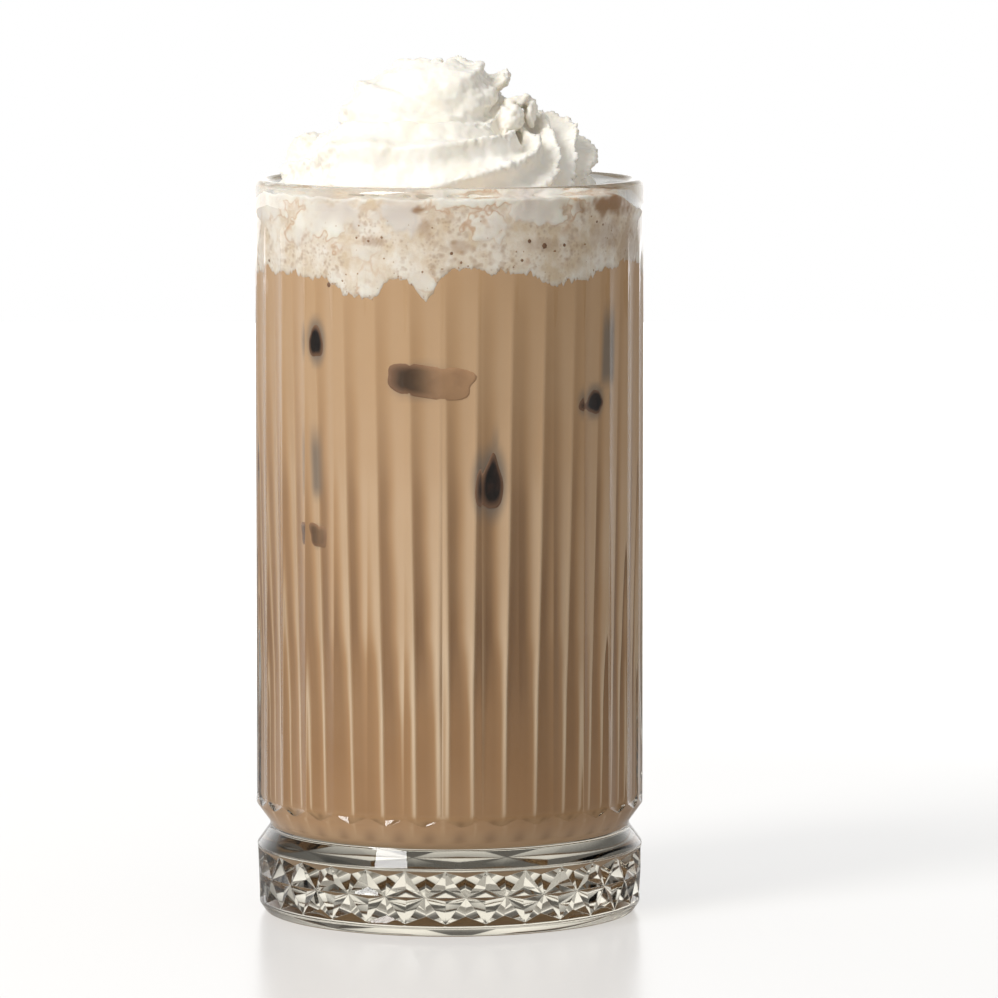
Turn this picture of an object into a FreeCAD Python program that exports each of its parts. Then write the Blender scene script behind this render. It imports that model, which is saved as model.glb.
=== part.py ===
import FreeCAD, Part
import math
import os

# Iced chocolate drink in a pressed long-drink glass, topped with piped whipped cream.
# Millimetres, +Z up. The origin is the middle of the circle that the foot stands on.
# Angles are measured about Z from the front (-Y) towards the right (+X).

# ---------------------------------------------------------------- driving dimensions
# Glass, outside
glass_height = 149.0
rim_radius = 39.5            # the thickened lip, the widest part of the glass
lip_proud = 0.2              # the lip stands this far outside the ridges between the flutes
flute_count = 32
flute_turn = 3.6             # degrees from the front to the middle of the nearest flute
flute_depth = 1.6            # near the lower end, measured from the ridge circle
flute_depth_top = 0.7        # near the upper end
flute_foot_run = 1.5         # height over which a flute runs out at its lower end
flute_top_run = 12.0         # and at its upper end
flute_fade = 8.0             # the flutes have died out this far below the rim
lip_rise = 3.0               # height over which the ridges swell out to the lip
# Glass, neck and foot ring
neck_inset = 2.8             # the neck lies this far inside the ridges
neck_height = 17.9
flare_height = 4.3           # from the neck up to the lower ends of the flutes
ring_inset = 0.15            # the foot ring's upper edge lies this far inside the ridges
ring_taper = 0.4             # and its lower edge this much further in
ring_top = 13.8
ring_bottom = 2.4
foot_inset = 1.25            # from the ring's lower edge to the circle that touches the table
foot_width = 5.0             # width of the standing band
punt_height = 1.6            # hollow under the foot
# Star pattern round the foot ring
star_count = 30
star_turn = 4.9              # degrees from the front to the middle of the nearest star
star_edge = 0.5              # plain edge left above and below the stars
star_inset = 0.15            # the star points lie this far inside the plain edges
pit_depth = 1.1              # how far the facets sink between the points
# Glass, inside
lip_wall = 3.0
cavity_floor = 14.5          # thickness of the base
foot_wall = 9.8              # wall where the rounded floor meets it, measured from the ridges
cavity_corner = 9.5          # radius between floor and wall
# Contents
foam_top_below_rim = 6.0
foam_bottom_below_rim = 19.0
foam_lobe = 1.9              # how far the foam's lower edge wanders up and down
cream_gap_left = 2.2         # free gap between the cream and the lip, left and right
cream_gap_right = 6.2
cream_rope = 12.2            # half thickness of the piped rope at its fullest
cream_rope_end = 5.4         # and at the last turn
cream_upper_ring = 9.0       # radius of the second turn, which sits on the first
cream_rise = 19.5            # climb of the rope's middle from its start to its end
cream_start_drop = 2.0       # the rope's middle starts this far below the rim
cream_turns = 2.45
cream_teeth = 10             # teeth of the star nozzle
cream_tooth_depth = 2.4      # depth of the grooves that they leave
cream_peak = 1.8             # pulled tip above the last turn
cream_start_angle = -115.0

vector = FreeCAD.Vector
flute_foot = neck_height + flare_height
ridge_radius = rim_radius - lip_proud
neck_radius = ridge_radius - neck_inset
ring_top_radius = ridge_radius - ring_inset
ring_bottom_radius = ring_top_radius - ring_taper
foot_radius = ring_bottom_radius - foot_inset
cavity_foot_radius = ridge_radius - foot_wall


def at(radius, degrees, z):
    """Point at an angle from the front, at a radius and a height."""
    angle = math.radians(degrees)
    return vector(radius * math.sin(angle), -radius * math.cos(angle), z)


def turned(edges):
    """Solid of revolution about Z from the edges of a closed profile in the XZ plane."""
    face = Part.Face(Part.Wire(edges))
    return face.revolve(vector(0, 0, 0), vector(0, 0, 1), 360)


def line(a, b):
    return Part.LineSegment(vector(a[0], 0, a[1]), vector(b[0], 0, b[1])).toShape()


def arc(a, middle, b):
    points = [vector(p[0], 0, p[1]) for p in (a, middle, b)]
    return Part.Arc(*points).toShape()


def polyline(points):
    """Closed run of straight profile edges."""
    return [line(points[i], points[(i + 1) % len(points)]) for i in range(len(points))]


def triangles_to_solid(triangles, caps):
    """Closed solid from three-point faces and planar many-sided caps."""
    faces = [Part.Face(Part.makePolygon([a, b, c, a])) for a, b, c in triangles]
    faces += [Part.Face(Part.makePolygon(cap + [cap[0]])) for cap in caps]
    shell = Part.Shell(faces)
    solid = Part.Solid(shell)
    if solid.Volume < 0:
        solid.reverse()
    return solid


# ---------------------------------------------------------------- glass, outside
def fluted_column():
    """Column with straight ridges, between flutes that flatten out at both ends."""
    pitch = 360.0 / flute_count
    fade_z = glass_height - flute_fade
    stations = ((flute_foot, 0.0), (flute_foot + flute_foot_run, flute_depth),
                (fade_z - flute_top_run, flute_depth_top), (fade_z, 0.0))
    wires = []
    for z, depth in stations:
        arcs = []
        for k in range(flute_count):
            middle = flute_turn + k * pitch
            arcs.append(Part.Arc(
                at(ridge_radius, middle - pitch / 2, z),
                at(ridge_radius - depth, middle, z),
                at(ridge_radius, middle + pitch / 2, z)).toShape())
        wires.append(Part.Wire(arcs))
    return Part.makeLoft(wires, True, True)


def lip():
    """Rounded lip, up from where the flutes have died out."""
    fade_z = glass_height - flute_fade
    half_wall = lip_wall / 2
    crown = glass_height - half_wall
    middle = rim_radius - half_wall
    swell_z = fade_z + lip_rise
    return turned([
        line((0, fade_z), (ridge_radius, fade_z)),
        line((ridge_radius, fade_z), (rim_radius, swell_z)),
        line((rim_radius, swell_z), (rim_radius, crown)),
        arc((rim_radius, crown), (middle + half_wall * math.sqrt(0.5),
                                  crown + half_wall * math.sqrt(0.5)), (middle, glass_height)),
        line((middle, glass_height), (0, glass_height)),
        line((0, glass_height), (0, fade_z))])


def star_band():
    """Band of stars: a net of triangles between points, each sunk to a pit in its middle."""
    top_z = ring_top - star_edge
    bottom_z = ring_bottom + star_edge
    middle_z = (top_z + bottom_z) / 2
    third = (top_z - middle_z) / 3

    def ring_radius(z):
        share = (z - ring_bottom) / (ring_top - ring_bottom)
        return ring_bottom_radius + share * (ring_top_radius - ring_bottom_radius)

    def point(z, degrees):
        return at(ring_radius(z) - star_inset, degrees, z)

    def pit(z, degrees):
        return at(ring_radius(z) - pit_depth, degrees, z)

    pitch = 360.0 / star_count
    triangles = []
    tops, bottoms = [], []
    for k in range(star_count):
        star = star_turn + k * pitch
        before, after = star - pitch / 2, star + pitch / 2
        centre, next_centre = point(middle_z, star), point(middle_z, star + pitch)
        for edge_z, side in ((top_z, 1), (bottom_z, -1)):
            near, far = point(edge_z, before), point(edge_z, after)
            nets = (((near, far, centre), pit(middle_z + side * 2 * third, star)),
                    ((centre, next_centre, far), pit(middle_z + side * third, after)))
            for (a, b, c), deepest in nets:
                triangles += [(a, b, deepest), (b, c, deepest), (c, a, deepest)]
        tops.append(point(top_z, before))
        bottoms.append(point(bottom_z, before))
    return triangles_to_solid(triangles, [tops, bottoms])


def foot():
    """Lower edge of the ring and the standing band round a shallow punt."""
    under_stars = ring_bottom + star_edge
    round_corner = (ring_bottom_radius - (ring_bottom_radius - foot_radius) * 0.3, ring_bottom * 0.35)
    inner = foot_radius - foot_width
    return turned([
        arc((0, punt_height), (inner / 2, punt_height * 0.75), (inner, 0)),
        line((inner, 0), (foot_radius, 0)),
        arc((foot_radius, 0), round_corner, (ring_bottom_radius, ring_bottom)),
        line((ring_bottom_radius, ring_bottom), (ring_bottom_radius, under_stars)),
        line((ring_bottom_radius, under_stars), (0, under_stars)),
        line((0, under_stars), (0, punt_height))])


def waist():
    """Upper edge of the ring, the slope from it in to the neck and the flare out to the flutes."""
    over_stars = ring_top - star_edge
    return turned(polyline([(0, over_stars), (ring_top_radius, over_stars),
                            (ring_top_radius, ring_top), (neck_radius, neck_height),
                            (ridge_radius, flute_foot), (0, flute_foot)]))


# ---------------------------------------------------------------- glass, inside
def cavity_radius(z):
    """Inside radius of the drafted wall at a height above the rounded floor."""
    wall_foot = cavity_floor + cavity_corner
    mouth = rim_radius - lip_wall
    share = (z - wall_foot) / (glass_height - wall_foot)
    return cavity_foot_radius + share * (mouth - cavity_foot_radius)


def cavity(top_z):
    """Inside of the glass, filled from its floor up to a height."""
    wall_foot = cavity_floor + cavity_corner
    corner = cavity_foot_radius - cavity_corner
    slant = cavity_corner * math.sqrt(0.5)
    return turned([
        line((0, cavity_floor), (corner, cavity_floor)),
        arc((corner, cavity_floor), (corner + slant, wall_foot - slant),
            (cavity_foot_radius, wall_foot)),
        line((cavity_foot_radius, wall_foot), (cavity_radius(top_z), top_z)),
        line((cavity_radius(top_z), top_z), (0, top_z)),
        line((0, top_z), (0, cavity_floor))])


def mouth_cutter():
    """Cavity with the inner half of the lip rounded over."""
    half_wall = lip_wall / 2
    crown = glass_height - half_wall
    middle = rim_radius - half_wall
    inner = cavity_radius(crown)
    opened = turned([
        line((0, crown), (inner, crown)),
        arc((inner, crown), (middle - (middle - inner) * math.sqrt(0.5),
                             crown + half_wall * math.sqrt(0.5)), (middle, glass_height)),
        line((middle, glass_height), (middle, glass_height + half_wall)),
        line((middle, glass_height + half_wall), (0, glass_height + half_wall)),
        line((0, glass_height + half_wall), (0, crown))])
    return cavity(crown).fuse(opened)


def make_glass():
    outside = foot().fuse([star_band(), waist(), fluted_column(), lip()])
    return outside.cut(mouth_cutter()).removeSplitter()


# ---------------------------------------------------------------- contents
def under_foam():
    """All the space below the foam's wandering lower edge."""
    level = glass_height - foam_bottom_below_rim
    reach = rim_radius + 4.0
    steps = 16
    waves = ((2, 0.45, 35.0), (3, 0.35, -80.0), (5, 0.3, 20.0))   # count, share, turn
    rows = []
    for i in range(steps + 1):
        row = []
        for j in range(steps + 1):
            x = reach * (2.0 * i / steps - 1)
            y = reach * (2.0 * j / steps - 1)
            share = min(math.hypot(x, y) / cavity_radius(level), 1.15)
            angle = math.atan2(x, -y)
            height = sum(part * share ** count * math.cos(count * angle - math.radians(turn))
                         for count, part, turn in waves)
            row.append(vector(x, y, level + foam_lobe * height))
        rows.append(row)
    surface = Part.BSplineSurface()
    surface.interpolate(rows)
    return surface.toShape().extrude(vector(0, 0, -glass_height))


def make_drink_and_foam():
    foam_top = glass_height - foam_top_below_rim
    contents = cavity(foam_top)
    below = under_foam()
    return contents.common(below), contents.cut(below)


def ease(value, start, end):
    """Smooth step from 0 at start to 1 at end."""
    share = min(max((value - start) / (end - start), 0.0), 1.0)
    return share * share * (3 - 2 * share)


def cream_rope_at(turn):
    """Radius, height and half thickness of the piped rope after a number of turns."""
    mouth = cavity_radius(glass_height)
    outer = mouth - (cream_gap_left + cream_gap_right) / 2
    thickness = cream_rope + (cream_rope_end - cream_rope) * (turn / cream_turns) ** 1.3
    thickness *= 0.65 + 0.35 * ease(turn, 0.0, 0.4)       # the rope swells as piping begins
    first_ring = outer - thickness
    radius = first_ring + (cream_upper_ring - first_ring) * ease(turn, 0.5, 1.1)
    radius *= 1 - ease(turn, 1.6, cream_turns)
    height = glass_height - cream_start_drop + cream_rise * turn / cream_turns
    return radius, height, thickness


def toothed_outline(radius, height, thickness, turn):
    """Cross-section of the rope, grooved by the nozzle's teeth."""
    points = []
    count = cream_teeth * 6
    depth = min(cream_tooth_depth, thickness * 0.3)
    for i in range(count):
        angle = 2 * math.pi * i / count
        groove = 0.5 - 0.5 * math.cos(cream_teeth * angle + 1.2 * turn)
        reach = thickness - depth * groove
        points.append((radius + reach * math.cos(angle), height + reach * math.sin(angle)))
    return points


def farthest_hit(outlines, origin_z, elevation):
    """Distance from the axis to the outermost outline along a ray in the half plane."""
    dr, dz = math.cos(elevation), math.sin(elevation)
    best = 0.0
    for outline in outlines:
        for i, (r0, z0) in enumerate(outline):
            r1, z1 = outline[(i + 1) % len(outline)]
            side0 = r0 * dz - (z0 - origin_z) * dr
            side1 = r1 * dz - (z1 - origin_z) * dr
            if side0 * side1 > 0 or side0 == side1:
                continue
            share = side0 / (side0 - side1)
            r, z = r0 + share * (r1 - r0), z0 + share * (z1 - z0)
            best = max(best, r * dr + (z - origin_z) * dz)
    return best


def make_cream():
    """Piped swirl: a toothed rope wound up to a peak, standing on the foam."""
    base_z = glass_height - foam_top_below_rim
    middle_z = base_z + 1.0
    shift = (cream_gap_left - cream_gap_right) / 2
    sectors, belts = 80, 34
    rings = [[] for _ in range(belts)]
    last_z = cream_rope_at(cream_turns)[1]
    heart = [(0, base_z), (cream_rope_at(0)[0], base_z), (cream_rope_end, last_z),
             (0, last_z + cream_rope_end), (-cream_rope_end, base_z)]    # no eye is left open
    for s in range(sectors):
        degrees = cream_start_angle + 360.0 * s / sectors
        outlines = [heart]
        turn = s / sectors
        while turn <= cream_turns:
            outlines.append(toothed_outline(*cream_rope_at(turn), turn))
            turn += 1
        lowest = -math.atan2(middle_z - base_z, farthest_hit(outlines, middle_z, 0.0))
        for belt in range(belts):
            elevation = lowest + (math.pi / 2 - lowest) * belt / belts
            reach = farthest_hit(outlines, middle_z, elevation)
            z = middle_z + reach * math.sin(elevation)
            radius = reach * math.cos(elevation)
            if belt == 0:
                z = base_z
            rings[belt].append(at(radius, degrees, z) + vector(shift, 0, 0))
    tip = vector(shift + 2.0, 0, last_z + cream_rope_end + cream_peak)
    triangles = []
    for lower, upper in zip(rings, rings[1:]):
        for s in range(sectors):
            t = (s + 1) % sectors
            triangles += [(lower[s], lower[t], upper[t]), (lower[s], upper[t], upper[s])]
    triangles += [(rings[-1][s], rings[-1][(s + 1) % sectors], tip) for s in range(sectors)]
    return triangles_to_solid(triangles, [rings[0]])


# ---------------------------------------------------------------- output
drink, foam = make_drink_and_foam()
nodes = {"glass": make_glass(), "drink": drink, "foam": foam, "whipped_cream": make_cream()}

os.makedirs("parts", exist_ok=True)
for name, shape in nodes.items():
    if len(shape.Solids) != 1 or not shape.isValid():
        raise ValueError(name + " is not one valid solid")
    shape.Solids[0].exportStep("parts/" + name + ".step")
    box = shape.BoundBox
    print(name, "volume %.0f" % shape.Volume, "faces", len(shape.Faces),
          "x %.1f..%.1f y %.1f..%.1f z %.1f..%.1f" % (
              box.XMin, box.XMax, box.YMin, box.YMax, box.ZMin, box.ZMax))
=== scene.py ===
import math
import random

import bmesh
import bpy
from mathutils import Matrix, Vector, kdtree, noise


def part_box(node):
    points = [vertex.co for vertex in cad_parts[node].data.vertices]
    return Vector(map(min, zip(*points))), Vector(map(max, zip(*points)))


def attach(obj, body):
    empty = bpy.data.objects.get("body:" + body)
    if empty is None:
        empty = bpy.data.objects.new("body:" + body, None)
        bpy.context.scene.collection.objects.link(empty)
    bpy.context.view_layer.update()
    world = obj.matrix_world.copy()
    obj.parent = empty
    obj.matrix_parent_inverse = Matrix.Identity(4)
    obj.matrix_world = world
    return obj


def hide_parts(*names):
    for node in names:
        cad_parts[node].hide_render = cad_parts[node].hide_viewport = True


# An iced chocolate drink in a pressed, fluted long-drink glass, under a piped cream swirl.
# Angles are degrees about +Z from the front (-Y) towards the right (+X). Sizes here are in
# millimetres, and the meshes are in metres.

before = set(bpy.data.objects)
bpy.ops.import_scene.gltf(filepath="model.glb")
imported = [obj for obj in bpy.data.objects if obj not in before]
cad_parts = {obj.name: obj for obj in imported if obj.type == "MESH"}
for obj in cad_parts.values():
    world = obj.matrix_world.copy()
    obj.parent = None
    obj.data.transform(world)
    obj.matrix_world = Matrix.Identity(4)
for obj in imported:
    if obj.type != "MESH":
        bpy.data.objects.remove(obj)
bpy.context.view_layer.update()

MM = 0.001

# ------------------------------------------------------------------ sizes, in millimetres
glass_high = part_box("glass")[1]
GLASS_TOP = glass_high.z / MM
FOAM_LOW, FOAM_TOP = (corner.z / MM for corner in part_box("foam"))
CREAM_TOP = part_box("whipped_cream")[1].z / MM

COLUMNS = 480                 # steps round the glass: whole numbers of them fit a flute and a star
RIDGE_R = 39.3                # ridges between the flutes
RIM_R = glass_high.x / MM
FLUTES = 32
FLUTE_TURN = 3.625            # middle of the flute nearest the front
FLUTE_DEPTH = 1.0
FLUTE_DEPTH_TOP = 0.6
FLUTE_DEPTH_FOOT = 0.55       # they are shallower just above their lower ends
FLUTE_FOOT = 22.2             # the flutes begin here
FLUTE_RUN = 1.45              # height over which each one runs out, leaving a small gable
FLUTE_END = 2.5               # height above that over which its end takes its full form
RIDGE_SOFTNESS = 0.07         # how far the ridges are rounded, as a share of half a flute
RIDGE_SOFTNESS_TOP = 0.17     # the same below the lip
FLUTE_TOP = GLASS_TOP - 8.0
FLUTE_TOP_RUN = 12.0
NECK_R, NECK_Z = 36.2, 17.9   # corner of the neck, before it is rounded
RING_TOP_R, RING_TOP = 39.15, 13.8
RING_LOW_R, RING_LOW = 38.75, 2.4
FOOT_R, FOOT_INNER_R, PUNT = 37.5, 32.5, 1.6
STARS = 30
STAR_TURN = 4.75
STAR_HIGH, STAR_MIDDLE, STAR_LOW = 13.2, 8.05, 2.65
PIT_HIGH, PIT_UPPER, PIT_LOWER, PIT_LOW = 11.95, 9.6, 7.2, 4.1
PIT_DEPTH = 1.1
LIP_WALL = 3.0
LIP_FLARE = 3.0               # height over which the wall spreads from the flutes to the lip
LINE_ROUNDING = 0.4           # pressed lines are this soft
CAVITY_FLOOR, CAVITY_FOOT_R, CAVITY_CORNER = 14.5, 29.5, 9.5
CAVITY_FOOT = CAVITY_FLOOR + CAVITY_CORNER
SEAT = 0.15                   # what fills the glass reaches this far into its wall
FROTH_PROUD = 0.06            # the froth stands this far proud of the drink's side
FROTH_OVER_DRINK = 1.5        # and hangs this far down over its top
FLUTE_PITCH = 360.0 / FLUTES  # degrees from one ridge to the next
WELD = 0.002                  # points this near each other become one
COLUMN_ANGLES = [FLUTE_TURN - 180 / FLUTES + 360.0 * k / COLUMNS for k in range(COLUMNS)]


# ------------------------------------------------------------------ small helpers
def linear(code):
    """Linear colour from an sRGB hex value such as '#C8A885'."""
    parts = [int(code[i:i + 2], 16) / 255 for i in (1, 3, 5)]
    return [c / 12.92 if c <= 0.04045 else ((c + 0.055) / 1.055) ** 2.4 for c in parts] + [1.0]


def add(tree, kind, inputs=None, **settings):
    """Add one node: its settings, then its inputs, each a value or the socket that feeds it."""
    node = tree.nodes.new(kind)
    for name, value in settings.items():
        setattr(node, name, value)
    for key, value in (inputs or {}).items():
        if isinstance(value, bpy.types.NodeSocket):
            tree.links.new(value, node.inputs[key])
        else:
            node.inputs[key].default_value = value
    return node


def polar(radius, degrees, z):
    """Point in metres from a radius and height in millimetres and an angle from the front."""
    angle = math.radians(degrees)
    return Vector((radius * math.sin(angle), -radius * math.cos(angle), z)) * MM


def ease(value, start, end):
    """Smooth step from 0 at start to 1 at end."""
    share = min(max((value - start) / (end - start), 0.0), 1.0)
    return share * share * (3 - 2 * share)


def scale_for(size):
    """Scale of a pattern whose features lie this many millimetres apart."""
    return 1 / (size * MM)


def turn_from(centre, degrees):
    """How far an angle is from a centre, from -180 to 180 degrees."""
    return (degrees - centre + 180) % 360 - 180


def between(rows, z):
    """The values at a height, smoothly between rows that each give a height and its values."""
    i = min(max([k for k, row in enumerate(rows) if row[0] <= z] + [0]), len(rows) - 2)
    share = ease(z, rows[i][0], rows[i + 1][0])
    return [a + (b - a) * share for a, b in zip(rows[i][1:], rows[i + 1][1:])]


def belt_faces(belts, columns, first=0, turned=False):
    """Faces between rings of points that follow one another, turned over or not."""
    faces = []
    for j in range(belts - 1):
        for k in range(columns):
            n = (k + 1) % columns
            a, b = first + j * columns, first + (j + 1) * columns
            faces.append((a + k, b + k, b + n, a + n) if turned else (a + k, a + n, b + n, b + k))
    return faces


def tube_faces(belts, columns, first=0):
    """Faces of a tube of rings with a flat face at each end."""
    last = first + (belts - 1) * columns
    ends = [tuple(range(first, first + columns)), tuple(reversed(range(last, last + columns)))]
    return belt_faces(belts, columns, first, turned=True) + ends


def filling_faces(belts, columns):
    """Faces of rings that are closed by two points after them, one below and one on top."""
    below, last = belts * columns, (belts - 1) * columns
    faces = belt_faces(belts, columns)
    for k in range(columns):
        n = (k + 1) % columns
        faces.append((n, k, below))
        faces.append((last + k, last + n, below + 1))
    return faces


def mesh_object(name, points, faces, materials=()):
    """New piece from points in metres."""
    mesh = bpy.data.meshes.new(name)
    mesh.from_pydata([tuple(p) for p in points], [], faces)
    mesh.update()
    piece = bpy.data.objects.new(name, mesh)
    bpy.context.scene.collection.objects.link(piece)
    for material in materials:
        mesh.materials.append(material)
    return piece


def set_smooth(mesh):
    """Shade all faces of a mesh smoothly."""
    mesh.polygons.foreach_set("use_smooth", [True] * len(mesh.polygons))


def add_values(mesh, name, values):
    """Give each point a value that a material reads."""
    layer = mesh.attributes.new(name, "FLOAT", "POINT")
    layer.data.foreach_set("value", values)


def baked(piece):
    """Turn a piece with its modifiers into a plain mesh."""
    evaluated = piece.evaluated_get(bpy.context.evaluated_depsgraph_get())
    mesh = bpy.data.meshes.new_from_object(evaluated)
    piece.modifiers.clear()
    old = piece.data
    piece.data = mesh
    bpy.data.meshes.remove(old)
    mesh.name = piece.name
    return piece


def made_by_nodes(piece, tree, inputs):
    """Run a tree of geometry nodes on a piece, with values for its named inputs, and keep the result."""
    modifier = piece.modifiers.new(tree.name, "NODES")
    modifier.node_group = tree
    sockets = {item.name: item.identifier for item in tree.interface.items_tree if item.in_out == "INPUT"}
    for name, value in inputs.items():
        modifier[sockets[name]] = value
    return baked(piece)


def put_in(piece, node):
    """Put a finished piece on the object's one body, to stand for a CAD node if one is named."""
    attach(piece, "root")
    if node:
        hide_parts(node)


# ------------------------------------------------------------------ materials
def new_material(name):
    """Material with an empty node tree but for its output."""
    material = bpy.data.materials.new(name)
    material.use_nodes = True
    tree = material.node_tree
    tree.nodes.clear()
    output = add(tree, "ShaderNodeOutputMaterial")
    return material, tree, output


def soda_lime_glass():
    """Pressed soda-lime glass, fire-polished: clear and glossy, and a faint warm grey where thick."""
    material, tree, output = new_material("soda_lime_glass")
    # the pressed foot ring is a little less smooth than the polished wall
    place = add(tree, "ShaderNodeTexCoord").outputs["Object"]
    axes = add(tree, "ShaderNodeSeparateXYZ", {0: place})
    rough = add(tree, "ShaderNodeMapRange", {"Value": axes.outputs["Z"], "From Min": 13.2 * MM,
                                             "From Max": 14.2 * MM, "To Min": 0.04, "To Max": 0.0})
    clear = add(tree, "ShaderNodeBsdfPrincipled", {
        "Base Color": linear("#FBFBF9"), "Roughness": rough.outputs[0], "IOR": 1.5,
        "Transmission Weight": 1.0})
    # light passes straight through to the drink behind the wall, which keeps it free of noise
    open_way = add(tree, "ShaderNodeBsdfTransparent", {"Color": linear("#F6F6F4")})
    path = add(tree, "ShaderNodeLightPath")
    lit = add(tree, "ShaderNodeMath", {0: path.outputs["Is Shadow Ray"], 1: path.outputs["Is Diffuse Ray"]},
              operation="MAXIMUM")
    mixed = add(tree, "ShaderNodeMixShader", {0: lit.outputs[0], 1: clear.outputs[0], 2: open_way.outputs[0]})
    tree.links.new(mixed.outputs[0], output.inputs["Surface"])
    tint = add(tree, "ShaderNodeVolumeAbsorption", {"Color": linear("#CBC4B0"), "Density": 16.0})
    tree.links.new(tint.outputs[0], output.inputs["Volume"])
    return material


def milk_chocolate_drink():
    """Blended milk and chocolate: opaque and even. Painted light and shade: a pale band beside each ridge
    of the flutes and a shade across each flute, and paler higher up, near the froth. It is greyer where ice
    lies close."""
    material, tree, output = new_material("milk_chocolate_drink")
    place = add(tree, "ShaderNodeTexCoord").outputs["Object"]
    clouds = add(tree, "ShaderNodeTexNoise", {"Vector": place, "Scale": scale_for(16.667), "Detail": 3.0})
    cloudy = add(tree, "ShaderNodeMapRange", {"Value": clouds.outputs["Fac"], "From Min": 0.3,
                                              "From Max": 0.7, "To Min": 0.0, "To Max": 0.16})
    held = {name: add(tree, "ShaderNodeAttribute", attribute_name=name).outputs["Fac"]
            for name in ("painted_height_light", "painted_flute_light", "painted_flute_shade", "ice_halo")}
    # painted light and shade: paler higher up, and a pale band beside each ridge with a darker shade across
    # each flute
    colour = linear("#B68A60")
    for share, over in ((held["painted_height_light"], "#C39D76"), (cloudy.outputs[0], "#CDB092"),
                        (held["painted_flute_light"], "#EAD2B6"), (held["painted_flute_shade"], "#6A4930"),
                        (held["ice_halo"], "#7B7168")):
        colour = add(tree, "ShaderNodeMix", {"Factor": share, 6: colour, 7: linear(over)},
                     data_type="RGBA").outputs[2]
    body = add(tree, "ShaderNodeBsdfPrincipled", {
        "Base Color": colour, "Roughness": 0.6, "Specular IOR Level": 0.05})
    tree.links.new(body.outputs[0], output.inputs["Surface"])
    return material


def cloudy_ice():
    """Ice under a film of drink, where a piece touches the wall: painted shade makes it dark brown in its
    middle, for the dim drink seen deep through it, and it is paler at its edge.
    """
    material, tree, output = new_material("ice_in_drink")
    place = add(tree, "ShaderNodeTexCoord").outputs["Object"]
    grain = add(tree, "ShaderNodeTexNoise", {"Vector": place, "Scale": scale_for(3.846), "Detail": 3.0})
    streaks = add(tree, "ShaderNodeMapRange", {"Value": grain.outputs["Fac"], "From Min": 0.5,
                                               "From Max": 0.7, "To Min": 0.0, "To Max": 0.2})
    depth = add(tree, "ShaderNodeAttribute", attribute_name="painted_depth_shade")
    clear = add(tree, "ShaderNodeAttribute", attribute_name="clear_tone")
    # painted shade: the dark middle of each piece
    colour = linear("#80604A")
    for share, over in ((depth.outputs["Fac"], "#140C0A"), (clear.outputs["Fac"], "#B8906C"),
                        (streaks.outputs[0], "#6B4632")):
        colour = add(tree, "ShaderNodeMix", {"Factor": share, 6: colour, 7: linear(over)},
                     data_type="RGBA").outputs[2]
    body = add(tree, "ShaderNodeBsdfPrincipled", {
        "Base Color": colour, "Roughness": 0.5, "Specular IOR Level": 0.1})
    tree.links.new(body.outputs[0], output.inputs["Surface"])
    return material


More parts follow.
